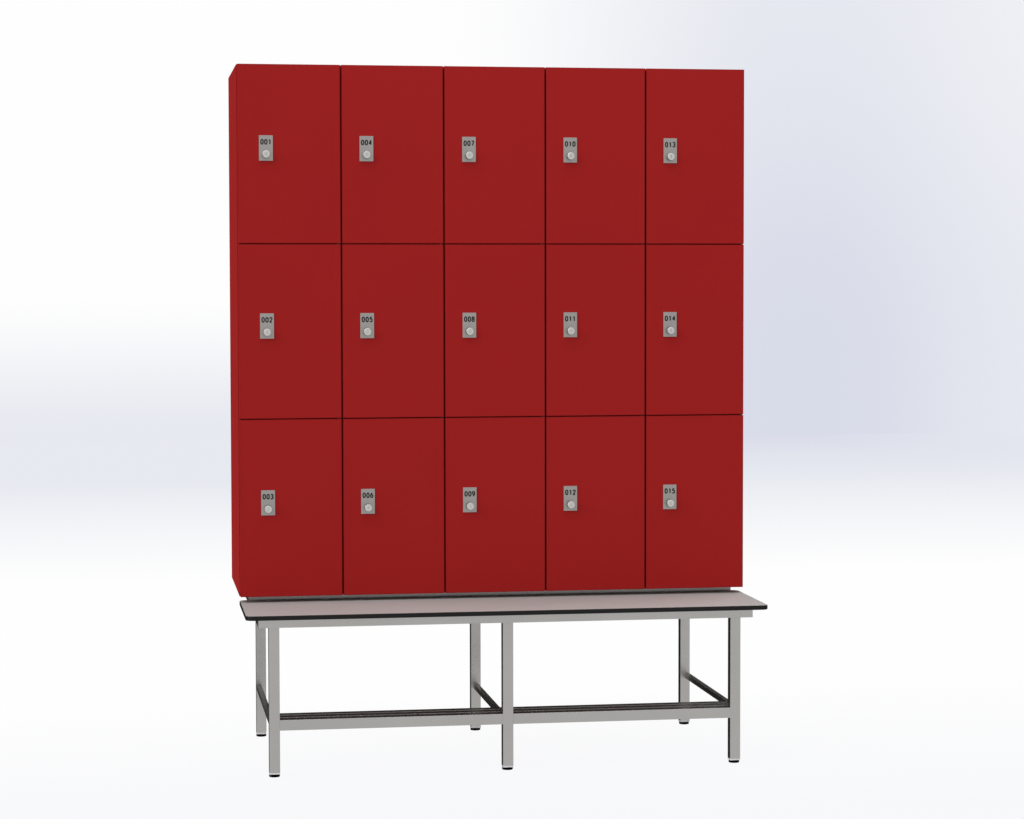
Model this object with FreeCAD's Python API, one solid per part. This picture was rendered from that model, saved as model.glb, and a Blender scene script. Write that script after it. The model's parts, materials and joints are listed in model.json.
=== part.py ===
import FreeCAD, Part
import os
from FreeCAD import Vector

# Bank of lockers on a steel bench frame, in millimetres.
# Origin: floor level, middle of the width and of the depth. X runs right, Y runs back, Z runs up.

# Cabinet carcass
column_count = 5
row_count = 3
column_pitch = 300.0
compartment_height = 488.0
board = 19.0
carcass_depth = 497.5
back_thickness = 8.0
back_recess = 5.0
wall_hole_diameter = 8.0
wall_hole_drop = 100.0

# Doors
door_thickness = 19.0
door_standoff = 2.5
door_side_gap = 4.5
door_edge_radius = 1.0

# Pivot hinges: a narrow plate with a pin, and a bush in the door edge
hinge_plate_thickness = 2.0
hinge_plate_grip = 25.0
pivot_edge_distance = 7.0
pivot_front_distance = 7.0
pivot_end_clearance = 0.5
pin_diameter = 5.0
pin_length = 10.0
pin_plate_rim = 2.0
hinge_pocket_clearance = 1.0
bush_wall = 1.5
bush_end_gap = 2.0
running_clearance = 0.05
fit_clearance = 0.05

# Cam lock and its face plate
lock_wall_distance = 64.0
lock_axis_drop = 1.5
lock_plate_width = 40.0
lock_plate_height = 73.0
lock_plate_drop = 18.5
lock_plate_thickness = 2.0
lock_plate_corner = 1.0
plug_diameter = 12.0
housing_wall = 3.0
lock_head_rim = 1.5
lock_head_length = 15.0
lock_head_edge_radius = 0.8
housing_end_gap = 0.3
nut_rim = 4.0
nut_thickness = 4.0
key_slot_width = 1.8
key_slot_height = 8.0
key_slot_depth = 6.0
cam_screw_diameter = 4.0
cam_screw_length = 9.0
cam_screw_head_diameter = 10.0
cam_screw_head_height = 3.0
cam_tail_wall = 1.5
cam_thickness = 2.5
cam_rim = 4.5
cam_tip_gap = 10.0

# Strike block behind which the cam turns
strike_setback = 0.5
strike_cam_gap = 1.0
strike_width = 20.0
strike_margin = 0.5
strike_height = 40.0
strike_screw_end_distance = 10.0

# Screws for the strike blocks, the back panel and the seat
screw_diameter = 4.0
screw_head_rim = 1.5
screw_head_height = 2.5
strike_screw_cover = 7.0
back_screw_bite = 20.0
seat_screw_cover = 4.0
seat_screw_leg_distance = 40.0
seat_screw_edge_distance = 30.0

# Bench seat
seat_front_reach = 304.0
seat_end_inset = 1.0
seat_tuck = 72.5
seat_thickness = 13.0
seat_corner_radius = 20.0
seat_edge_radius = 2.0

# Bench frame of square tube
frame_height = 454.0
leg_row_count = 3
leg_end_inset = 83.3
leg_setback = 68.0
leg_span = 686.0
frame_tube = 30.0
frame_wall = 2.0
tube_corner_radius = 0.5
seat_rail_depth = 25.0
seat_rail_height = 26.5
seat_rail_overhang = 30.0
rack_height = 162.5
rack_tube = 15.0
rack_wall = 1.5
rack_bar_count = 2
rack_bar_depth = 30.0
rack_gap = 13.5

# Feet: a cap pushed into the tube, and a round pad
cap_height = 4.5
cap_plug_length = 20.0
pad_diameter = 31.0
pad_height = 8.0
pad_edge = 1.0
pad_stub_diameter = 10.0
pad_stub_length = 10.0

# Plinth of square tube between the bench frame and the cabinet
plinth_seat_gap = 2.0
plinth_left_inset = 28.5
plinth_right_inset = 21.5
plinth_tube = 30.0
plinth_wall = 2.0

# How far a cut runs past the faces that it opens, and what counts as the same place
overrun = 1.0
same_place = 0.001
parallel_share = 0.99

RIGHT = Vector(1, 0, 0)
BACK = Vector(0, 1, 0)
UP = Vector(0, 0, 1)

# Places along Y
cabinet_depth = door_thickness + door_standoff + carcass_depth
total_depth = seat_front_reach + cabinet_depth
seat_front = -total_depth / 2
door_front = seat_front + seat_front_reach
seat_back = door_front + seat_tuck
plinth_front = seat_back + plinth_seat_gap
door_back = door_front + door_thickness
carcass_front = door_back + door_standoff
carcass_back = carcass_front + carcass_depth
panel_back = carcass_back - back_recess
panel_front = panel_back - back_thickness
pivot_y = door_front + pivot_front_distance
front_leg_y = seat_front + leg_setback
rear_leg_y = front_leg_y + leg_span - frame_tube

# Places along Z
cabinet_base = frame_height + plinth_tube
row_pitch = compartment_height + board
cabinet_top = cabinet_base + row_count * row_pitch + board
row_gap = hinge_plate_thickness + 2 * pivot_end_clearance
hinge_pocket_depth = hinge_plate_thickness + pivot_end_clearance

# Places along X
cabinet_width = column_count * column_pitch
cabinet_left = -cabinet_width / 2
cabinet_right = cabinet_width / 2
seat_right = cabinet_right - seat_end_inset
leg_reach = cabinet_right - leg_end_inset
leg_pitch = 2 * leg_reach / (leg_row_count - 1)
leg_centres = [i * leg_pitch - leg_reach for i in range(leg_row_count)]

# Diameters and lengths that follow from what goes inside
hinge_plate_width = pin_diameter + 2 * pin_plate_rim
bush_diameter = pin_diameter + 2 * (running_clearance + bush_wall)
bush_length = pin_length + bush_end_gap
housing_diameter = plug_diameter + 2 * (running_clearance + housing_wall)
housing_hole = housing_diameter + 2 * fit_clearance
lock_head_diameter = housing_diameter + 2 * lock_head_rim
nut_diameter = housing_diameter + 2 * nut_rim
cam_screw_hole = cam_screw_diameter + 2 * fit_clearance
cam_square = cam_screw_hole + 2 * cam_tail_wall
cam_width = cam_square + 2 * cam_rim
cam_reach = lock_wall_distance - cam_tip_gap
screw_head_diameter = screw_diameter + 2 * screw_head_rim
strike_depth = screw_head_diameter + 2 * strike_margin
strike_screw_bite = board - strike_screw_cover
seat_screw_bite = seat_thickness - seat_screw_cover

# Places of the lock and its strike along Y
plate_front = door_front - lock_plate_thickness
lock_front = plate_front - lock_head_length
strike_front = carcass_front + strike_setback
strike_back = strike_front + strike_depth
cam_front = strike_back + strike_cam_gap
cam_back = cam_front + cam_thickness


def block(low_x, low_y, low_z, high_x, high_y, high_z):
    """A box between two corners."""
    return Part.makeBox(high_x - low_x, high_y - low_y, high_z - low_z, Vector(low_x, low_y, low_z))


def rod(start, direction, diameter, length):
    """A round bar that begins at a point."""
    return Part.makeCylinder(diameter / 2, length, start, direction)


def edges_along(shape, direction):
    """The straight edges of a box that run in one direction."""
    found = []
    for edge in shape.Edges:
        if abs(edge.tangentAt(edge.FirstParameter).dot(direction)) > parallel_share:
            found.append(edge)
    return found


def edges_at(shape, direction, place):
    """The edges that lie in the plane square to a direction at a place."""
    found = []
    for edge in shape.Edges:
        if all(abs(vertex.Point.dot(direction) - place) < same_place for vertex in edge.Vertexes):
            found.append(edge)
    return found


def tube(low, high, direction, wall):
    """A square tube between two corners, open at both ends along its direction."""
    outer = block(low.x, low.y, low.z, high.x, high.y, high.z)
    outer = outer.makeFillet(tube_corner_radius, edges_along(outer, direction))
    across = Vector(1, 1, 1) - direction
    inner_low = low + across * wall - direction * overrun
    inner_high = high - across * wall + direction * overrun
    inner = block(inner_low.x, inner_low.y, inner_low.z, inner_high.x, inner_high.y, inner_high.z)
    return outer.cut(inner)


def screw(seat, direction, length):
    """A pan-head screw: its head stands on the seat and its shank runs along the direction."""
    shank = rod(seat, direction, screw_diameter, length)
    head = rod(seat, -direction, screw_head_diameter, screw_head_height)
    return head.fuse(shank).removeSplitter()


def screw_hole(seat, direction, length):
    """The hole that takes a screw's shank, open at the seat."""
    start = seat - direction * overrun
    return rod(start, direction, screw_diameter + 2 * fit_clearance, length + overrun + fit_clearance)


def write(name, solids):
    """One file for one named piece or group of like pieces."""
    Part.makeCompound(solids).exportStep(os.path.join("parts", name + ".step"))


def column_left(column):
    return cabinet_left + column * column_pitch


def wall_right_face(column):
    """Inner face of the wall at the left of a compartment."""
    return cabinet_left + board if column == 0 else column_left(column) + board / 2


def wall_left_face(column):
    """Inner face of the wall at the right of a compartment."""
    right = column_left(column + 1)
    return right - board if column == column_count - 1 else right - board / 2


def board_centre(level):
    """Height of the middle of the bottom panel, a shelf or the top panel, counted from below."""
    return cabinet_base + level * row_pitch + board / 2


def door_span(row):
    """Bottom and top of a door in a row counted from below."""
    low = cabinet_base if row == 0 else board_centre(row) + row_gap / 2
    high = cabinet_top if row == row_count - 1 else board_centre(row + 1) - row_gap / 2
    return low, high


def bearing_span(row):
    """Bottom and top of a door at its pivots: at the cabinet's ends they lie in pockets."""
    low, high = door_span(row)
    if row == 0:
        low += hinge_pocket_depth
    if row == row_count - 1:
        high -= hinge_pocket_depth
    return low, high


def lock_axis(column, row):
    """Where a lock turns: beside the left wall of its compartment, just below the middle of its door."""
    low, high = door_span(row)
    return wall_right_face(column) + lock_wall_distance, (low + high) / 2 - lock_axis_drop


def pivot_x(column):
    return column_left(column + 1) - door_side_gap / 2 - pivot_edge_distance


# Hinge plates

def hinge_level(level):
    """Underside of the hinge plates at a level: in the end faces, or halfway through a shelf."""
    if level == 0:
        return cabinet_base
    if level == row_count:
        return cabinet_top - hinge_plate_thickness
    return board_centre(level) - hinge_plate_thickness / 2


def hinge_tail(column, level):
    """The part of a hinge plate that is let into the boards behind it."""
    low = hinge_level(level)
    half = hinge_plate_width / 2
    centre = pivot_x(column)
    return block(
        centre - half, carcass_front, low,
        centre + half, carcass_front + hinge_plate_grip, low + hinge_plate_thickness)


def hinge_tails(column):
    """The let-in parts of all hinge plates of a column."""
    return [hinge_tail(column, level) for level in range(row_count + 1)]


def hinge_plate(column, level):
    """Plate with its tail, its nose round the pivot, and pins for the doors above and below."""
    low = hinge_level(level)
    high = low + hinge_plate_thickness
    half = hinge_plate_width / 2
    centre = pivot_x(column)
    arm = block(centre - half, pivot_y, low, centre + half, carcass_front, high)
    nose = rod(Vector(centre, pivot_y, low), UP, hinge_plate_width, hinge_plate_thickness)
    pin_low = low - pin_length if level > 0 else low
    pin_high = high + pin_length if level < row_count else high
    pin = rod(Vector(centre, pivot_y, pin_low), UP, pin_diameter, pin_high - pin_low)
    return hinge_tail(column, level).fuse([arm, nose, pin]).removeSplitter()


# Strike blocks and screws

def strike_screw_seats(column, row):
    """Where the two screws of a strike block have their heads."""
    _, axis_z = lock_axis(column, row)
    seat_x = wall_right_face(column) + strike_width
    seat_y = (strike_front + strike_back) / 2
    half = strike_height / 2 - strike_screw_end_distance
    return [Vector(seat_x, seat_y, axis_z + offset) for offset in (-half, half)]


def strike_block(column, row):
    """Block on the left wall, just in front of the turned cam, drilled for its screws."""
    _, axis_z = lock_axis(column, row)
    wall = wall_right_face(column)
    half = strike_height / 2
    plain = block(wall, strike_front, axis_z - half, wall + strike_width, strike_back, axis_z + half)
    return plain.cut([screw_hole(seat, -RIGHT, strike_width) for seat in strike_screw_seats(column, row)])


def strike_holes(column):
    """Screw holes that the strike blocks of a column need in its left wall."""
    length = strike_width + strike_screw_bite
    return [
        screw_hole(seat, -RIGHT, length)
        for row in range(row_count)
        for seat in strike_screw_seats(column, row)
    ]


def back_screw_seats(column):
    """Heads of the screws that hold the back panel to the partition at the left of a column."""
    rise = (board + compartment_height) / 2
    return [Vector(column_left(column), panel_back, board_centre(row) + rise) for row in range(row_count)]


def seat_screw_seats(centre):
    """Heads of the screws under one cross rail that hold the seat."""
    low = frame_height - frame_tube
    front = front_leg_y + frame_tube + seat_screw_leg_distance
    rear = seat_back - seat_screw_edge_distance
    return [Vector(centre, place, low) for place in (front, rear)]


def fixings():
    """All screws, each a solid of its own."""
    made = []
    for column in range(column_count):
        for row in range(row_count):
            for seat in strike_screw_seats(column, row):
                made.append(screw(seat, -RIGHT, strike_width + strike_screw_bite))
    for column in range(1, column_count):
        for seat in back_screw_seats(column):
            made.append(screw(seat, -BACK, back_thickness + back_screw_bite))
    for centre in leg_centres:
        for seat in seat_screw_seats(centre):
            made.append(screw(seat, UP, frame_tube + seat_screw_bite))
    return made


# Carcass

def side_panels():
    inner_left = cabinet_left + board
    inner_right = cabinet_right - board
    left = block(cabinet_left, carcass_front, cabinet_base, inner_left, carcass_back, cabinet_top)
    right = block(inner_right, carcass_front, cabinet_base, cabinet_right, carcass_back, cabinet_top)
    return [left.cut(strike_holes(0)), right.cut(hinge_tails(column_count - 1))]


def end_panel(level):
    """Bottom or top panel, between the sides, with seats for the hinge plates."""
    middle = board_centre(level)
    left = cabinet_left + board
    right = cabinet_right - board
    panel = block(left, carcass_front, middle - board / 2, right, carcass_back, middle + board / 2)
    return panel.cut([hinge_tail(column, level) for column in range(column_count)])


def back_panel():
    """Panel let in between the sides, with two holes for fixing to a wall."""
    panel = block(
        cabinet_left + board, panel_front, cabinet_base + board,
        cabinet_right - board, panel_back, cabinet_top - board)
    holes = []
    for column in range(1, column_count):
        holes.extend(screw_hole(seat, -BACK, back_thickness) for seat in back_screw_seats(column))
    for column in (0, column_count - 1):
        centre = column_left(column) + column_pitch / 2
        start = Vector(centre, panel_front - overrun, cabinet_top - wall_hole_drop)
        holes.append(rod(start, BACK, wall_hole_diameter, back_thickness + 2 * overrun))
    return panel.cut(holes)


def partition(column):
    """Upright at the left of a column, with slots for the hinge plates of the column before it."""
    left = column_left(column) - board / 2
    upright = block(
        left, carcass_front, cabinet_base + board,
        left + board, panel_front, cabinet_top - board)
    length = back_thickness + back_screw_bite
    holes = [screw_hole(seat, -BACK, length) for seat in back_screw_seats(column)]
    return upright.cut(holes + strike_holes(column) + hinge_tails(column - 1))


def shelf(column, level):
    """Shelf between two uprights, with a slot in its front edge for the hinge plate."""
    low = board_centre(level) - board / 2
    plain = block(
        wall_right_face(column), carcass_front, low,
        wall_left_face(column), panel_front, low + board)
    return plain.cut(hinge_tail(column, level))


# Doors

def bush_start(column, row, at_top):
    """Lower end of a pivot bush in the bottom or top edge of a door."""
    low, high = bearing_span(row)
    return Vector(pivot_x(column), pivot_y, high - bush_length if at_top else low)


def hinge_pocket(column, low, high):
    """Corner cut from a door round a hinge plate, wide enough for the whole swing."""
    reach = hinge_plate_width / 2 + hinge_pocket_clearance
    return block(
        pivot_x(column) - reach, pivot_y - reach, low,
        column_left(column + 1), door_back + overrun, high)


def door_panel(column, row):
    """Door leaf with its front edges eased, bored for the lock and the two bushes.

    A door at an end of the cabinet covers the hinge plate there, which lies in a pocket behind its front.
    """
    low, high = door_span(row)
    left = column_left(column) + door_side_gap / 2
    right = column_left(column + 1) - door_side_gap / 2
    leaf = block(left, door_front, low, right, door_back, high)
    leaf = leaf.makeFillet(door_edge_radius, edges_at(leaf, BACK, door_front))
    axis_x, axis_z = lock_axis(column, row)
    start = Vector(axis_x, door_front - overrun, axis_z)
    cuts = [rod(start, BACK, housing_hole, door_thickness + 2 * overrun)]
    for at_top in (False, True):
        seat = bush_start(column, row, at_top)
        start = seat if at_top else seat - UP * overrun
        cuts.append(rod(start, UP, bush_diameter + 2 * fit_clearance, bush_length + overrun))
    bearing_low, bearing_high = bearing_span(row)
    if row == 0:
        cuts.append(hinge_pocket(column, low - overrun, bearing_low))
    if row == row_count - 1:
        cuts.append(hinge_pocket(column, bearing_high, high + overrun))
    return leaf.cut(cuts)


def pivot_bush(column, row, at_top):
    start = bush_start(column, row, at_top)
    bore = rod(start - UP * overrun, UP, pin_diameter + 2 * running_clearance, bush_length + 2 * overrun)
    return rod(start, UP, bush_diameter, bush_length).cut(bore)


def lock_plate(axis_x, axis_z):
    """Face plate on the front of the door; the number stands above the cylinder."""
    low = axis_z - lock_plate_drop
    plate = block(
        axis_x - lock_plate_width / 2, plate_front, low,
        axis_x + lock_plate_width / 2, door_front, low + lock_plate_height)
    plate = plate.makeFillet(lock_plate_corner, edges_along(plate, BACK))
    start = Vector(axis_x, plate_front - overrun, axis_z)
    return plate.cut(rod(start, BACK, housing_hole, lock_plate_thickness + 2 * overrun))


def lock_housing(axis_x, axis_z):
    """Sleeve through plate and door with a round head in front, bored for the plug."""
    start = Vector(axis_x, lock_front, axis_z)
    head = rod(start, BACK, lock_head_diameter, lock_head_length)
    head = head.makeFillet(lock_head_edge_radius, edges_at(head, BACK, lock_front))
    length = cam_front - housing_end_gap - plate_front
    sleeve = rod(Vector(axis_x, plate_front, axis_z), BACK, housing_diameter, length)
    bore_length = lock_head_length + length + 2 * overrun
    bore = rod(start - BACK * overrun, BACK, plug_diameter + 2 * running_clearance, bore_length)
    return head.fuse(sleeve).removeSplitter().cut(bore)


def lock_nut(axis_x, axis_z):
    """Ring nut that draws the housing against the back of the door."""
    start = Vector(axis_x, door_back, axis_z)
    bore = rod(start - BACK * overrun, BACK, housing_hole, nut_thickness + 2 * overrun)
    return rod(start, BACK, nut_diameter, nut_thickness).cut(bore)


def door_hardware(column, row):
    """What is fixed to a door: face plate, lock housing, nut and two pivot bushes."""
    axis_x, axis_z = lock_axis(column, row)
    return [
        lock_plate(axis_x, axis_z),
        lock_housing(axis_x, axis_z),
        lock_nut(axis_x, axis_z),
        pivot_bush(column, row, False),
        pivot_bush(column, row, True),
    ]


# Turning parts of a lock

def lock_plug(axis_x, axis_z):
    """Key plug with its slot, and a square tail for the cam, bored for the cam screw."""
    start = Vector(axis_x, lock_front, axis_z)
    plug = rod(start, BACK, plug_diameter, cam_front - lock_front)
    half = cam_square / 2
    tail = block(axis_x - half, cam_front, axis_z - half, axis_x + half, cam_back, axis_z + half)
    slot = block(
        axis_x - key_slot_width / 2, lock_front - overrun, axis_z - key_slot_height / 2,
        axis_x + key_slot_width / 2, lock_front + key_slot_depth, axis_z + key_slot_height / 2)
    bore_length = cam_screw_length + fit_clearance + overrun
    bore = rod(Vector(axis_x, cam_back + overrun, axis_z), -BACK, cam_screw_hole, bore_length)
    return plug.fuse(tail).removeSplitter().cut([slot, bore])


def lock_cam(axis_x, axis_z):
    """Flat bar that hangs down when unlocked."""
    half = cam_width / 2
    bar = block(axis_x - half, cam_front, axis_z - cam_reach, axis_x + half, cam_back, axis_z)
    head = rod(Vector(axis_x, cam_front, axis_z), BACK, cam_width, cam_thickness)
    hole = cam_square / 2 + fit_clearance
    square = block(
        axis_x - hole, cam_front - overrun, axis_z - hole,
        axis_x + hole, cam_back + overrun, axis_z + hole)
    return bar.fuse(head).removeSplitter().cut(square)


def cam_screw(axis_x, axis_z):
    seat = Vector(axis_x, cam_back, axis_z)
    head = rod(seat, BACK, cam_screw_head_diameter, cam_screw_head_height)
    shank = rod(seat, -BACK, cam_screw_diameter, cam_screw_length)
    return head.fuse(shank).removeSplitter()


def lock_parts(column, row):
    axis_x, axis_z = lock_axis(column, row)
    return [lock_plug(axis_x, axis_z), lock_cam(axis_x, axis_z), cam_screw(axis_x, axis_z)]


# Bench

def seat_board():
    """Solid laminate board with round corners and eased edges, drilled from below."""
    top = frame_height + seat_thickness
    plain = block(-seat_right, seat_front, frame_height, seat_right, seat_back, top)
    plain = plain.makeFillet(seat_corner_radius, edges_along(plain, UP))
    rims = edges_at(plain, UP, frame_height) + edges_at(plain, UP, top)
    plain = plain.makeFillet(seat_edge_radius, rims)
    holes = []
    for centre in leg_centres:
        for seat in seat_screw_seats(centre):
            holes.append(screw_hole(seat, UP, frame_tube + seat_screw_bite))
    return plain.cut(holes)


def bench_legs():
    half = frame_tube / 2
    foot_height = pad_height + cap_height
    legs = []
    for centre in leg_centres:
        for front in (front_leg_y, rear_leg_y):
            low = Vector(centre - half, front, foot_height)
            high = Vector(centre + half, front + frame_tube, frame_height)
            legs.append(tube(low, high, UP, frame_wall))
    return legs


def leg_bays():
    """Clear stretches between neighbouring legs."""
    half = frame_tube / 2
    return [(left + half, right - half) for left, right in zip(leg_centres, leg_centres[1:])]


def seat_rails():
    """Rails along the front and the ends of the seat, and the upper rails between the rear legs."""
    leg_face = leg_centres[-1] + frame_tube / 2
    reach = leg_face + seat_rail_overhang
    base = frame_height - seat_rail_height
    low = Vector(-reach, front_leg_y - seat_rail_depth, base)
    rails = [tube(low, Vector(reach, front_leg_y, frame_height), RIGHT, frame_wall)]
    for left in (-reach, leg_face):
        high = Vector(left + seat_rail_overhang, seat_back, frame_height)
        rails.append(tube(Vector(left, front_leg_y, base), high, BACK, frame_wall))
    for left, right in leg_bays():
        low = Vector(left, rear_leg_y, frame_height - frame_tube)
        rails.append(tube(low, Vector(right, rear_leg_y + frame_tube, frame_height), RIGHT, frame_wall))
    return rails


def cross_rails():
    """Upper rails from front legs to rear legs, which carry the seat and the plinth."""
    half = frame_tube / 2
    rails = []
    for centre in leg_centres:
        low = Vector(centre - half, front_leg_y + frame_tube, frame_height - frame_tube)
        rail = tube(low, Vector(centre + half, rear_leg_y, frame_height), BACK, frame_wall)
        rails.append(rail.cut([screw_hole(seat, UP, frame_tube) for seat in seat_screw_seats(centre)]))
    return rails


def rack_cross_bars():
    """Thin bars from front to rear: level with the rack at the ends, below it in the middle."""
    front = front_leg_y + frame_tube
    bars = []
    for centre in leg_centres:
        is_left = centre == leg_centres[0]
        is_right = centre == leg_centres[-1]
        left = centre - rack_tube / 2
        if is_left:
            left = centre - frame_tube / 2
        if is_right:
            left = centre + frame_tube / 2 - rack_tube
        high = rack_height if is_left or is_right else rack_height - rack_tube
        low = Vector(left, front, high - rack_tube)
        bars.append(tube(low, Vector(left + rack_tube, rear_leg_y, high), BACK, rack_wall))
    return bars


def shoe_rack():
    """Lower front rail between the legs, and the flat bars behind it that hold shoes."""
    bars = []
    for left, right in leg_bays():
        low = Vector(left, front_leg_y, rack_height - frame_tube)
        bars.append(tube(low, Vector(right, front_leg_y + frame_tube, rack_height), RIGHT, frame_wall))
    left = leg_centres[0] - frame_tube / 2 + rack_tube
    right = leg_centres[-1] + frame_tube / 2 - rack_tube
    for i in range(rack_bar_count):
        front = front_leg_y + frame_tube + rack_gap + i * (rack_bar_depth + rack_gap)
        low = Vector(left, front, rack_height - rack_tube)
        bars.append(tube(low, Vector(right, front + rack_bar_depth, rack_height), RIGHT, rack_wall))
    return bars


def foot_cap(centre, front):
    """Plastic end cap: a flange as wide as the tube and a plug inside it."""
    half = frame_tube / 2
    foot_height = pad_height + cap_height
    flange = block(centre - half, front, pad_height, centre + half, front + frame_tube, foot_height)
    inset = frame_wall + fit_clearance
    plug = block(
        centre - half + inset, front + inset, foot_height,
        centre + half - inset, front + frame_tube - inset, foot_height + cap_plug_length)
    start = Vector(centre, front + half, pad_height - overrun)
    bore = rod(start, UP, pad_stub_diameter + 2 * fit_clearance, pad_stub_length + overrun + fit_clearance)
    return flange.fuse(plug).removeSplitter().cut(bore)


def foot_pad(centre, front):
    """Round pad under a cap, with a stub pushed into it."""
    start = Vector(centre, front + frame_tube / 2, 0)
    pad = rod(start, UP, pad_diameter, pad_height)
    pad = pad.makeChamfer(pad_edge, edges_at(pad, UP, 0))
    stub = rod(start + UP * pad_height, UP, pad_stub_diameter, pad_stub_length)
    return pad.fuse(stub).removeSplitter()


def feet(make):
    """One piece of a kind under each leg."""
    return [make(centre, front) for centre in leg_centres for front in (front_leg_y, rear_leg_y)]


# Plinth

def plinth_frame():
    """Tube frame under the cabinet: front and rear bars, with three bars between them."""
    left = cabinet_left + plinth_left_inset
    right = cabinet_right - plinth_right_inset
    front = plinth_front + plinth_tube
    rear = rear_leg_y + (frame_tube - plinth_tube) / 2
    bars = []
    for place in (plinth_front, rear):
        high = Vector(right, place + plinth_tube, cabinet_base)
        bars.append(tube(Vector(left, place, frame_height), high, RIGHT, plinth_wall))
    for place in (left, -plinth_tube / 2, right - plinth_tube):
        high = Vector(place + plinth_tube, rear, cabinet_base)
        bars.append(tube(Vector(place, front, frame_height), high, BACK, plinth_wall))
    return bars


def main():
    os.makedirs("parts", exist_ok=True)
    columns = range(column_count)
    rows = range(row_count)
    levels = range(row_count + 1)
    write("side_panels", side_panels())
    write("bottom_panel", [end_panel(0)])
    write("top_panel", [end_panel(row_count)])
    write("back_panel", [back_panel()])
    write("partitions", [partition(column) for column in columns[1:]])
    write("shelves", [shelf(column, level) for column in columns for level in rows[1:]])
    write("hinge_plates", [hinge_plate(column, level) for column in columns for level in levels])
    write("strike_blocks", [strike_block(column, row) for column in columns for row in rows])
    write("fixings", fixings())
    write("seat_board", [seat_board()])
    write("bench_legs", bench_legs())
    write("bench_rails", seat_rails() + cross_rails() + rack_cross_bars() + shoe_rack())
    write("foot_caps", feet(foot_cap))
    write("foot_pads", feet(foot_pad))
    write("plinth_frame", plinth_frame())
    number = 0
    for column in columns:
        for row in reversed(rows):
            number += 1
            write(f"door_panel_{number:02d}", [door_panel(column, row)])
            write(f"door_hardware_{number:02d}", door_hardware(column, row))
            write(f"lock_{number:02d}", lock_parts(column, row))


main()
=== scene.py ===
import json
import math

import bpy
from mathutils import Matrix, Vector


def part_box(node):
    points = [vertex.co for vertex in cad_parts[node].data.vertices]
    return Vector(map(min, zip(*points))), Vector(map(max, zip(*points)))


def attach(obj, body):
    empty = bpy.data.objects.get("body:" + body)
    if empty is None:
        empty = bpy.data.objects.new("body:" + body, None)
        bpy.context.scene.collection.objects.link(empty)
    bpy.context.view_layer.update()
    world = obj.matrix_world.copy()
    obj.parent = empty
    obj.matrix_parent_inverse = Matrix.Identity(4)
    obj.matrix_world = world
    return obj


# Bank of lockers on a bench: its finishes, door numbers, light and camera. Lengths are in metres.

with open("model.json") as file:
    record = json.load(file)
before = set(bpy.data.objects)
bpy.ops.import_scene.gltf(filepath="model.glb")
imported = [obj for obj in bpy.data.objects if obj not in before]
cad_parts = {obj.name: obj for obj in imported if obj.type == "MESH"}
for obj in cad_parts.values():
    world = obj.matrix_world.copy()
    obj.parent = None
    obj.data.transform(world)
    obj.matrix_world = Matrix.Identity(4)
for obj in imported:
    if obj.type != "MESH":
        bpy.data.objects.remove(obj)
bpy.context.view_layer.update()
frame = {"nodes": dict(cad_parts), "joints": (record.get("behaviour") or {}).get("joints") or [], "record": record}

# Camera
CAMERA_PLACE = Vector((-1.09982, -7.45344, 1.38385))
CAMERA_YAW = 0.1552
CAMERA_PITCH = 0.0486
CAMERA_ROLL = -0.0017
SENSOR_WIDTH_MM = 36.0
LENS_MM = 89.042

# Places where one piece changes its finish, and where the painted shade on the lock head's side wall begins and
# ends
SEAT_DECOR_DEPTH = 0.0001
LOCK_PLATE_THICKNESS = 0.002
LOCK_HEAD_STEP = 0.0002
LOCK_HEAD_LENGTH = 0.015
LOCK_HEAD_EDGE = 0.001

# Edge band of the doors: a dark hair line inside each edge, the band's glue line, drawn darker as painted shade
# beside the door gaps
EDGE_BAND = 0.0012
EDGE_LINE = 0.0005

# Relief of the finishes
BOARD_RELIEF = 0.00006
PAINT_RELIEF = 0.00001
LAMINATE_RELIEF = 0.00004
BRUSH_RELIEF = 0.00003
RUBBER_RELIEF = 0.00008
PLASTIC_RELIEF = 0.00005

# Door numbers
NUMBER_RISE = 0.0357
NUMBER_RELIEF = 0.00015
DIGIT_HEIGHT = 0.0129
DIGIT_PITCH = 0.0111
DIGIT_STROKE = 0.0036
DIGIT_WIDTH_SHARE = 0.5
STROKE_ORDER = 3
STROKE_STEPS = 6

# Floor and backdrop, and where along the floor its shades begin and end
FLOOR_NEAR = -20.0
FLOOR_FAR = 15.4
FLOOR_SIDE = 20.0
FLOOR_DROP = 0.0005
HAZE_START = 4.5
HAZE_END = 10.5
FRONT_HAZE_START = -9.0
SIDE_HAZE_START = 9.0
NEAR_SHADE_START = 1.0
NEAR_SHADE_END = -1.0
CORNER_START = 0.0
CORNER_FULL = 4.0
CORNER_EASE = 5.2
CORNER_END = 7.4
FLOOR_DIFFUSE = (0.02, 0.02, 0.02, 1.0)
FLOOR_GLOW = 0.975
BACKDROP_WHITE = (0.991, 0.991, 0.991, 1.0)
BACKDROP_HAZE = (0.686, 0.708, 0.807, 1.0)
HAZE_SHARE = 0.63
NEAR_SHADE_SHARE = 0.2
CORNER_SHARE = 0.36
CORNER_END_SHARE = 0.15

# Soft lights
KEY_DIRECTION = Vector((0.80, 0.20, -0.56))
KEY_STRENGTH = 2.85
REAR_DIRECTION = Vector((-0.75, -0.45, -0.48))
REAR_STRENGTH = 1.6
LIGHT_SPREAD = math.radians(60)
TOP_LIGHT_PLACE = Vector((0.2, -1.2, 5.5))
TOP_LIGHT_SIZE = 3.5
TOP_LIGHT_POWER = 105.0
FRONT_STRENGTH = 0.62
BACK_STRENGTH = 0.02
AROUND_STRENGTH = 0.5

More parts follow.
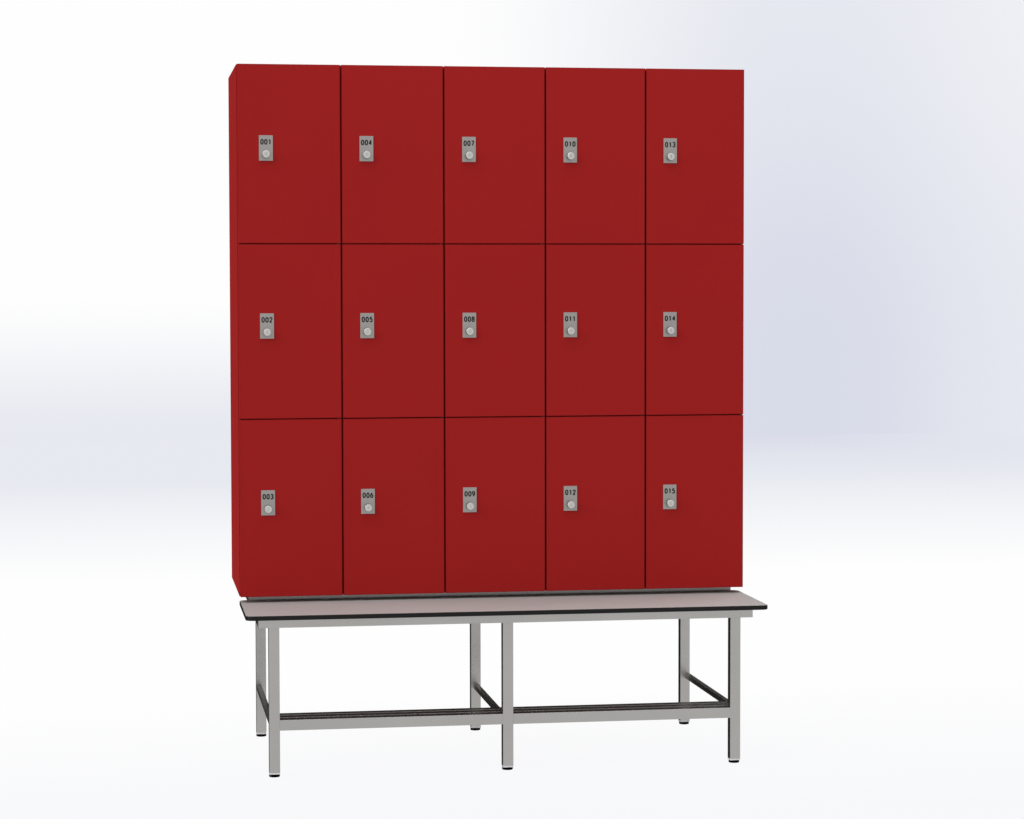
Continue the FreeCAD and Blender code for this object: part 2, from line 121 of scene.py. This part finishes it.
# Colours
RED = (0.320, 0.0115, 0.0110, 1.0)
FRAME_GREY = (0.60, 0.588, 0.568, 1.0)
FRAME_GRAZING = (0.42, 0.42, 0.42, 1.0)
DECOR_GREY = (0.325, 0.310, 0.303, 1.0)
CORE_BLACK = (0.004, 0.0038, 0.0036, 1.0)
ZINC_BLACK = (0.05, 0.05, 0.05, 1.0)
ZINC = (0.62, 0.61, 0.58, 1.0)
PLATE_GREY = (0.47, 0.445, 0.43, 1.0)
NICKEL = (0.78, 0.77, 0.74, 1.0)
PAD_BLACK = (0.0012, 0.0012, 0.0013, 1.0)
CAP_GREY = (0.70, 0.70, 0.70, 1.0)
INK = (0.012, 0.013, 0.012, 1.0)


# Material building blocks

class Finish:
    """A material with one principled shader, and short ways to feed it."""

    def __init__(self, name):
        self.material = bpy.data.materials.new(name)
        self.material.use_nodes = True
        self.tree = self.material.node_tree
        self.shader = self.tree.nodes["Principled BSDF"]
        self.coordinates = self.tree.nodes.new("ShaderNodeTexCoord")
        self.place = self.coordinates.outputs["Object"]

    def node(self, kind, **settings):
        made = self.tree.nodes.new(kind)
        for name, value in settings.items():
            setattr(made, name, value)
        return made

    def feed(self, socket, source):
        """Link an output to a socket, or set the socket to a plain value."""
        if isinstance(source, bpy.types.NodeSocket):
            self.tree.links.new(source, socket)
        else:
            socket.default_value = source

    def set(self, **values):
        """Set or link the shader's inputs, named with underscores for spaces."""
        for name, value in values.items():
            self.feed(self.shader.inputs[name.replace("_", " ")], value)

    def colour_so_far(self):
        """The output that feeds the base colour."""
        return self.shader.inputs["Base Color"].links[0].from_socket

    def stretched(self, stretch):
        """Object coordinates pulled out of proportion, for streaks."""
        node = self.node("ShaderNodeMapping")
        self.feed(node.inputs["Vector"], self.place)
        node.inputs["Scale"].default_value = stretch
        return node.outputs["Vector"]

    def noise(self, per_metre, detail, at=None):
        node = self.node("ShaderNodeTexNoise")
        self.feed(node.inputs["Vector"], at or self.place)
        node.inputs["Scale"].default_value = per_metre
        node.inputs["Detail"].default_value = detail
        return node.outputs["Fac"]

    def span(self, value, taken, onto):
        """Stretch a range of values onto another, held at its ends."""
        node = self.node("ShaderNodeMapRange")
        for socket, end in zip(node.inputs, (value, *taken, *onto)):
            self.feed(socket, end)
        return node.outputs["Result"]

    def math(self, operation, first, second=0.0):
        node = self.node("ShaderNodeMath", operation=operation)
        self.feed(node.inputs[0], first)
        self.feed(node.inputs[1], second)
        return node.outputs["Value"]

    def mix(self, share, first, second):
        """Mix two colours."""
        node = self.node("ShaderNodeMix", data_type="RGBA")
        colours = [socket for socket in node.inputs if socket.type == "RGBA"]
        self.feed(node.inputs["Factor"], share)
        self.feed(colours[0], first)
        self.feed(colours[1], second)
        return next(socket for socket in node.outputs if socket.type == "RGBA")

    def axes(self, source):
        """The three parts of a coordinate."""
        node = self.node("ShaderNodeSeparateXYZ")
        self.feed(node.inputs["Vector"], source)
        return node.outputs

    def bump(self, height, depth):
        node = self.node("ShaderNodeBump")
        node.inputs["Distance"].default_value = depth
        self.feed(node.inputs["Height"], height)
        return node.outputs["Normal"]


def shade(colour, share):
    """A colour made lighter or darker."""
    return tuple(channel * share for channel in colour[:3]) + (1.0,)


def red_board(name, colour):
    """Melamine-faced board: even colour, a fine pearled face and a satin sheen."""
    finish = Finish(name)
    cloud = finish.span(finish.noise(per_metre=3.0, detail=2.0), taken=(0.3, 0.7), onto=(0.0, 1.0))
    grain = finish.noise(per_metre=1400.0, detail=3.0)
    sheen = finish.noise(per_metre=14.0, detail=4.0)
    tone = finish.mix(cloud, shade(colour, 0.98), shade(colour, 1.02))
    fleck = finish.span(grain, taken=(0.35, 0.65), onto=(0.0, 0.1))
    finish.set(
        Base_Color=finish.mix(fleck, tone, shade(colour, 1.3)),
        Roughness=finish.span(sheen, taken=(0.3, 0.7), onto=(0.45, 0.53)),
        Specular_IOR_Level=0.08,
        Normal=finish.bump(grain, depth=BOARD_RELIEF),
    )
    return finish


def door_board(name, colour):
    """Red board with an edge band round it: a dark hair line just inside each edge, the band's glue line, made
    darker as painted shade beside the door gaps.
    """
    finish = red_board(name, colour)
    along = finish.axes(finish.coordinates.outputs["Generated"])
    low, high = (Vector(corner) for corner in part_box("door_panel_01"))
    distances = []
    for axis, length in (("X", high.x - low.x), ("Z", high.z - low.z)):
        off_centre = finish.math("ABSOLUTE", finish.math("SUBTRACT", along[axis], 0.5))
        distances.append(finish.math("MULTIPLY", finish.math("SUBTRACT", 0.5, off_centre), length))
    edge = finish.math("MINIMUM", *distances)
    off = finish.math("ABSOLUTE", finish.math("SUBTRACT", edge, EDGE_BAND))
    # Dark hair line: partly the edge band's glue line, partly painted shade for the shade beside the gaps.
    glue_line_and_gap_shade = finish.span(off, taken=(EDGE_LINE / 2, EDGE_LINE), onto=(0.7, 0.0))
    finish.set(Base_Color=finish.mix(glue_line_and_gap_shade, finish.colour_so_far(), shade(colour, 0.35)))
    return finish


def satin_paint(name, colour):
    """Aluminium-effect powder coat: fine flakes in a satin, slightly pebbled coat."""
    finish = Finish(name)
    flake = finish.noise(per_metre=2600.0, detail=2.0)
    pebble = finish.noise(per_metre=700.0, detail=3.0)
    cloud = finish.span(finish.noise(per_metre=5.0, detail=3.0), taken=(0.3, 0.7), onto=(0.0, 1.0))
    tone = finish.mix(cloud, shade(colour, 0.97), shade(colour, 1.03))
    sparkle = finish.span(flake, taken=(0.5, 0.75), onto=(0.0, 0.2))
    finish.set(
        Base_Color=finish.mix(sparkle, tone, shade(colour, 1.3)),
        Metallic=1.0,
        Specular_Tint=FRAME_GRAZING,
        Roughness=finish.span(pebble, taken=(0.3, 0.7), onto=(0.24, 0.31)),
        Normal=finish.bump(pebble, depth=PAINT_RELIEF),
    )
    return finish


def compact_laminate(name, decor, core):
    """Compact laminate: a grey face with a fine pebble, and a black core at the edges."""
    finish = Finish(name)
    low, high = (Vector(corner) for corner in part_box("seat_board"))
    height = finish.axes(finish.place)["Z"]
    top = finish.math("GREATER_THAN", height, high.z - SEAT_DECOR_DEPTH)
    underside = finish.math("LESS_THAN", height, low.z + SEAT_DECOR_DEPTH)
    face = finish.math("MAXIMUM", top, underside)
    pebble = finish.noise(per_metre=900.0, detail=4.0)
    cloud = finish.span(finish.noise(per_metre=6.0, detail=4.0), taken=(0.3, 0.7), onto=(0.0, 1.0))
    scuff = finish.noise(per_metre=30.0, detail=6.0, at=finish.stretched((1.0, 6.0, 1.0)))
    fibre = finish.noise(per_metre=400.0, detail=3.0, at=finish.stretched((0.2, 0.2, 4.0)))
    face_colour = finish.mix(cloud, shade(decor, 0.98), shade(decor, 1.02))
    core_colour = finish.mix(fibre, shade(core, 0.7), shade(core, 1.3))
    finish.set(
        Base_Color=finish.mix(face, core_colour, face_colour),
        Roughness=finish.span(scuff, taken=(0.35, 0.7), onto=(0.42, 0.5)),
        Specular_IOR_Level=0.3,
        Normal=finish.bump(pebble, depth=LAMINATE_RELIEF),
    )
    return finish


def brushed_metal(name, colour, roughness, stretch):
    """Brushed plate: streaks along one direction, in tone, sheen and relief."""
    finish = Finish(name)
    streak = finish.noise(per_metre=900.0, detail=3.0, at=finish.stretched(stretch))
    cloud = finish.span(finish.noise(per_metre=40.0, detail=3.0), taken=(0.4, 0.8), onto=(0.0, 0.25))
    tone = finish.mix(streak, shade(colour, 0.88), shade(colour, 1.12))
    finish.set(
        Base_Color=finish.mix(cloud, tone, shade(colour, 0.8)),
        Metallic=1.0,
        Roughness=finish.span(streak, taken=(0.3, 0.7), onto=(roughness - 0.05, roughness + 0.07)),
        Normal=finish.bump(streak, depth=BRUSH_RELIEF),
    )
    return finish


def lock_metal(name, plate, head, front):
    """Satin plate and, in front of it, a turned lock head whose side wall is painted dark as painted shade, and a
    bright face.
    """
    finish = brushed_metal(name, plate, roughness=0.42, stretch=(1.0, 1.0, 14.0))
    depth = finish.axes(finish.place)["Y"]
    # The head's side wall gets a quarter of the head's colour: painted shade for its shaded side.
    painted_shade_wall = finish.math("LESS_THAN", depth, front - LOCK_HEAD_STEP)
    face = finish.math("LESS_THAN", depth, front - LOCK_HEAD_LENGTH + LOCK_HEAD_EDGE)
    worn = finish.span(finish.noise(per_metre=300.0, detail=4.0), taken=(0.45, 0.75), onto=(0.0, 0.3))
    behind = finish.mix(painted_shade_wall, finish.colour_so_far(), shade(head, 0.25))
    finish.set(Base_Color=finish.mix(face, behind, finish.mix(worn, head, shade(head, 0.85))))
    return finish


def rubber(name, colour):
    """Black rubber with a dusty, fine-pored face."""
    finish = Finish(name)
    pores = finish.noise(per_metre=1100.0, detail=3.0)
    dust = finish.span(finish.noise(per_metre=60.0, detail=5.0), taken=(0.5, 0.8), onto=(0.0, 0.2))
    finish.set(
        Base_Color=finish.mix(dust, colour, shade(colour, 3.0)),
        Roughness=finish.span(pores, taken=(0.3, 0.7), onto=(0.55, 0.75)),
        Specular_IOR_Level=0.05,
        Normal=finish.bump(pores, depth=RUBBER_RELIEF),
    )
    return finish


def moulded_plastic(name, colour):
    """Pale moulded plastic with a faint mottle and a matt, spark-eroded face."""
    finish = Finish(name)
    pits = finish.noise(per_metre=1600.0, detail=3.0)
    mottle = finish.noise(per_metre=120.0, detail=4.0)
    finish.set(
        Base_Color=finish.mix(mottle, shade(colour, 0.92), shade(colour, 1.08)),
        Roughness=finish.span(pits, taken=(0.3, 0.7), onto=(0.4, 0.55)),
        Normal=finish.bump(pits, depth=PLASTIC_RELIEF),
    )
    return finish


def printed_ink(name, colour):
    """Dark print, thin in places."""
    finish = Finish(name)
    thin = finish.span(finish.noise(per_metre=1500.0, detail=4.0), taken=(0.55, 0.8), onto=(0.0, 0.35))
    gloss = finish.noise(per_metre=800.0, detail=3.0)
    finish.set(
        Base_Color=finish.mix(thin, colour, shade(colour, 3.0)),
        Roughness=finish.span(gloss, taken=(0.3, 0.7), onto=(0.4, 0.6)),
        Specular_IOR_Level=0.25,
    )
    return finish


# Finishes for the nodes

lock_axes = {}
for joint in frame["joints"]:
    if joint["child"].startswith("lock_"):
        lock_axes[joint["child"]] = Vector(joint["pos_m"])
plate_front = lock_axes["lock_01"].y - LOCK_PLATE_THICKNESS

finishes = {
    "door_board": door_board("red_door", RED),
    "carcass_board": red_board("red_carcass", RED),
    "back_board": red_board("red_back", RED),
    "dark_steel": brushed_metal("black_zinc", ZINC_BLACK, roughness=0.4, stretch=(1.0, 1.0, 5.0)),
    "screw_steel": brushed_metal("bright_zinc", ZINC, roughness=0.3, stretch=(1.0, 1.0, 1.0)),
    "seat_laminate": compact_laminate("seat_laminate", DECOR_GREY, CORE_BLACK),
    "frame_paint": satin_paint("frame_paint", FRAME_GREY),
    "cap_plastic": moulded_plastic("cap_plastic", CAP_GREY),
    "foot_rubber": rubber("foot_rubber", PAD_BLACK),
    "lock_metal": lock_metal("lock_plate", PLATE_GREY, NICKEL, plate_front),
    "lock_chrome": brushed_metal("lock_plug", NICKEL, roughness=0.25, stretch=(1.0, 1.0, 1.0)),
}
for subpart in frame["record"]["subparts"]:
    mesh = frame["nodes"][subpart["node"]].data
    mesh.materials.clear()
    mesh.materials.append(finishes[subpart["material_slot"]].material)


# Door numbers

ink = printed_ink("number_ink", INK)


# Strokes of each digit, as control points in shares of the digit's height: two points make a
# straight stroke, more a curve.
LOOP_SHARES = [(0.25, 0.0), (0.5, 0.0), (0.5, 0.6), (0.0, 0.6), (0.0, 0.0), (0.25, 0.0)]
TAIL_SHARES = [(0.44, 1.0), (0.02, 0.9), (0.0, 0.3)]
DIGIT_SHARES = {
    "0": [[(0.25, 0.0), (0.5, 0.0), (0.5, 1.0), (0.0, 1.0), (0.0, 0.0), (0.25, 0.0)]],
    "1": [[(0.08, 0.8), (0.3, 1.0)], [(0.3, 1.0), (0.3, 0.0)]],
    "2": [[(0.02, 0.74), (0.02, 1.0), (0.5, 1.0), (0.5, 0.6), (0.0, 0.0)], [(0.0, 0.0), (0.5, 0.0)]],
    "3": [
        [(0.02, 0.86), (0.08, 1.0), (0.47, 1.0), (0.47, 0.53), (0.18, 0.53)],
        [(0.18, 0.53), (0.5, 0.53), (0.5, 0.0), (0.05, 0.0), (0.0, 0.15)],
    ],
    "4": [[(0.4, 0.0), (0.4, 1.0)], [(0.4, 1.0), (0.0, 0.3)], [(0.0, 0.3), (0.54, 0.3)]],
    "5": [
        [(0.45, 1.0), (0.08, 1.0)],
        [(0.08, 1.0), (0.05, 0.52)],
        [(0.05, 0.52), (0.12, 0.64), (0.5, 0.66), (0.5, 0.0), (0.06, 0.0), (0.0, 0.13)],
    ],
    "6": [LOOP_SHARES, TAIL_SHARES],
    "7": [[(0.0, 1.0), (0.5, 1.0)], [(0.5, 1.0), (0.17, 0.0)]],
    "8": [
        [(0.25, 0.0), (0.5, 0.0), (0.5, 0.54), (0.0, 0.54), (0.0, 0.0), (0.25, 0.0)],
        [(0.25, 0.54), (0.46, 0.54), (0.46, 1.0), (0.04, 1.0), (0.04, 0.54), (0.25, 0.54)],
    ],
    "9": [[(DIGIT_WIDTH_SHARE - x, 1.0 - y) for x, y in part] for part in (LOOP_SHARES, TAIL_SHARES)],
}


def door_number(door, digits, centre):
    """Printed number on a lock plate, facing the front, centred on a point of the plate."""
    curve = bpy.data.curves.new("number_" + door, "CURVE")
    curve.dimensions = "3D"
    curve.bevel_depth = DIGIT_STROKE / 2
    curve.bevel_resolution = 1
    curve.use_fill_caps = True
    for place, digit in enumerate(digits):
        for part in DIGIT_SHARES[digit]:
            stroke = curve.splines.new("NURBS")
            stroke.points.add(len(part) - 1)
            stroke.order_u = min(STROKE_ORDER, len(part))
            stroke.use_endpoint_u = True
            stroke.resolution_u = STROKE_STEPS
            for point, (x, y) in zip(stroke.points, part):
                across = (x - DIGIT_WIDTH_SHARE / 2) * DIGIT_HEIGHT
                along = (place - (len(digits) - 1) / 2) * DIGIT_PITCH
                point.co = (along + across, (y - 0.5) * DIGIT_HEIGHT, 0, 1)
    lettering = bpy.data.objects.new("lettering_" + door, curve)
    bpy.context.scene.collection.objects.link(lettering)
    bpy.context.view_layer.update()
    graph = bpy.context.evaluated_depsgraph_get()
    mesh = bpy.data.meshes.new_from_object(lettering.evaluated_get(graph))
    bpy.data.objects.remove(lettering)
    flat = Matrix.Diagonal((1, 1, NUMBER_RELIEF / curve.bevel_depth, 1))
    stand = Matrix.Rotation(math.pi / 2, 4, "X")
    mesh.transform(Matrix.Translation(centre) @ stand @ flat)
    mesh.materials.clear()
    mesh.materials.append(ink.material)
    number = bpy.data.objects.new("number_" + door, mesh)
    bpy.context.scene.collection.objects.link(number)
    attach(number, "door_" + door)


for lock, axis in lock_axes.items():
    door = lock.removeprefix("lock_")
    door_number(door, door.zfill(3), Vector((axis.x, plate_front, axis.z + NUMBER_RISE)))


# Stage, light and camera

def floor():
    """White floor that fades into the haze of the backdrop on all sides."""
    mesh = bpy.data.meshes.new("floor")
    corners = [
        (-FLOOR_SIDE, FLOOR_NEAR, -FLOOR_DROP),
        (FLOOR_SIDE, FLOOR_NEAR, -FLOOR_DROP),
        (FLOOR_SIDE, FLOOR_FAR, -FLOOR_DROP),
        (-FLOOR_SIDE, FLOOR_FAR, -FLOOR_DROP),
    ]
    mesh.from_pydata(corners, [], [(0, 1, 2, 3)])
    finish = Finish("floor")
    across, back, _ = finish.axes(finish.place)
    haze = finish.span(back, taken=(HAZE_START, HAZE_END), onto=(0.0, HAZE_SHARE))
    front = finish.span(back, taken=(FRONT_HAZE_START, FLOOR_NEAR), onto=(0.0, HAZE_SHARE))
    aside = finish.math("ABSOLUTE", across)
    sides = finish.span(aside, taken=(SIDE_HAZE_START, FLOOR_SIDE), onto=(0.0, HAZE_SHARE))
    near = finish.span(back, taken=(NEAR_SHADE_START, NEAR_SHADE_END), onto=(0.0, NEAR_SHADE_SHARE))
    fade = near
    for part in (haze, front, sides):
        fade = finish.math("MAXIMUM", fade, part)
    corner = finish.math(
        "MULTIPLY",
        finish.span(across, taken=(CORNER_START, CORNER_FULL), onto=(0.0, 1.0)),
        finish.span(across, taken=(CORNER_EASE, CORNER_END), onto=(1.0, CORNER_END_SHARE)))
    behind = finish.span(back, taken=(HAZE_END, FLOOR_FAR), onto=(0.0, CORNER_SHARE))
    far = finish.math("MULTIPLY", corner, behind)
    fade = finish.math("ADD", fade, far)
    finish.set(
        Base_Color=FLOOR_DIFFUSE,
        Roughness=1.0,
        Specular_IOR_Level=0.0,
        Emission_Color=finish.mix(fade, BACKDROP_WHITE, BACKDROP_HAZE),
        Emission_Strength=FLOOR_GLOW,
    )
    mesh.materials.append(finish.material)
    made = bpy.data.objects.new("floor", mesh)
    made.visible_glossy = False
    made.visible_diffuse = False
    bpy.context.scene.collection.objects.link(made)


def studio_world():
    """Light from the front, above and below, little from behind. The camera sees a hazy white backdrop."""
    world = bpy.data.worlds.new("studio")
    world.use_nodes = True
    nodes = world.node_tree.nodes
    links = world.node_tree.links
    direction = nodes.new("ShaderNodeTexCoord").outputs["Generated"]
    along = nodes.new("ShaderNodeSeparateXYZ")
    links.new(direction, along.inputs["Vector"])

    def ramp(axis, taken, onto):
        node = nodes.new("ShaderNodeMapRange")
        node.interpolation_type = "SMOOTHSTEP"
        links.new(along.outputs[axis], node.inputs["Value"])
        for name, end in zip(("From Min", "From Max", "To Min", "To Max"), (*taken, *onto)):
            node.inputs[name].default_value = end
        return node.outputs["Result"]

    def joined(operation, first, second):
        node = nodes.new("ShaderNodeMath")
        node.operation = operation
        links.new(first, node.inputs[0])
        links.new(second, node.inputs[1])
        return node.outputs["Value"]

    lighting = nodes["Background"]
    lighting.inputs["Color"].default_value = (1.0, 1.0, 1.0, 1.0)
    front = ramp("Y", taken=(0.0, -0.65), onto=(BACK_STRENGTH, FRONT_STRENGTH))
    over = ramp("Z", taken=(0.3, 0.6), onto=(0.0, AROUND_STRENGTH))
    under = ramp("Z", taken=(-0.2, -0.4), onto=(0.0, AROUND_STRENGTH))
    around = joined("MAXIMUM", over, under)
    links.new(joined("MAXIMUM", front, around), lighting.inputs["Strength"])

    low = ramp("Z", taken=(0.0, -0.06), onto=(0.0, HAZE_SHARE))
    rise = ramp("X", taken=(0.12, 0.26), onto=(0.0, 1.0))
    fall = ramp("X", taken=(0.27, 0.36), onto=(1.0, 0.65))
    height = ramp("Z", taken=(0.12, -0.03), onto=(0.65, 1.0))
    right = joined("MULTIPLY", joined("MULTIPLY", rise, fall), height)
    tint = nodes.new("ShaderNodeMix")
    tint.data_type = "RGBA"
    shades = [socket for socket in tint.inputs if socket.type == "RGBA"]
    links.new(joined("MAXIMUM", low, right), tint.inputs["Factor"])
    shades[0].default_value = BACKDROP_WHITE
    shades[1].default_value = BACKDROP_HAZE
    backdrop = nodes.new("ShaderNodeBackground")
    links.new(next(socket for socket in tint.outputs if socket.type == "RGBA"), backdrop.inputs["Color"])

    choice = nodes.new("ShaderNodeMixShader")
    links.new(nodes.new("ShaderNodeLightPath").outputs["Is Camera Ray"], choice.inputs["Fac"])
    links.new(lighting.outputs["Background"], choice.inputs[1])
    links.new(backdrop.outputs["Background"], choice.inputs[2])
    links.new(choice.outputs["Shader"], nodes["World Output"].inputs["Surface"])
    bpy.context.scene.world = world


def distant_light(name, direction, strength):
    """Broad, distant light, even over the whole object."""
    light = bpy.data.lights.new(name, "SUN")
    light.angle = LIGHT_SPREAD
    light.energy = strength
    made = bpy.data.objects.new(name, light)
    made.rotation_euler = direction.to_track_quat("-Z", "Y").to_euler()
    bpy.context.scene.collection.objects.link(made)


def top_light():
    """Soft box above the front, brighter on the upper doors than on the lower ones."""
    light = bpy.data.lights.new("top_soft", "AREA")
    light.size = TOP_LIGHT_SIZE
    light.energy = TOP_LIGHT_POWER
    made = bpy.data.objects.new("top_soft", light)
    made.location = TOP_LIGHT_PLACE
    made.visible_camera = False
    bpy.context.scene.collection.objects.link(made)


def photo_camera():
    """Camera where the picture was taken from, looking the same way."""
    forward = Vector((
        math.sin(CAMERA_YAW) * math.cos(CAMERA_PITCH),
        math.cos(CAMERA_YAW) * math.cos(CAMERA_PITCH),
        -math.sin(CAMERA_PITCH)))
    level = Vector((math.cos(CAMERA_YAW), -math.sin(CAMERA_YAW), 0))
    rise = level.cross(forward)
    right = level * math.cos(CAMERA_ROLL) + rise * math.sin(CAMERA_ROLL)
    up = rise * math.cos(CAMERA_ROLL) - level * math.sin(CAMERA_ROLL)
    camera = bpy.data.cameras.new("camera")
    camera.sensor_fit = "HORIZONTAL"
    camera.sensor_width = SENSOR_WIDTH_MM
    camera.lens = LENS_MM
    made = bpy.data.objects.new("camera", camera)
    turn = Matrix((right, up, -forward)).transposed().to_4x4()
    made.matrix_world = Matrix.Translation(CAMERA_PLACE) @ turn
    bpy.context.scene.collection.objects.link(made)
    bpy.context.scene.camera = made


floor()
studio_world()
distant_light("key_soft", KEY_DIRECTION, KEY_STRENGTH)
distant_light("rear_soft", REAR_DIRECTION, REAR_STRENGTH)
top_light()
photo_camera()
bpy.context.scene.view_settings.view_transform = "Standard"
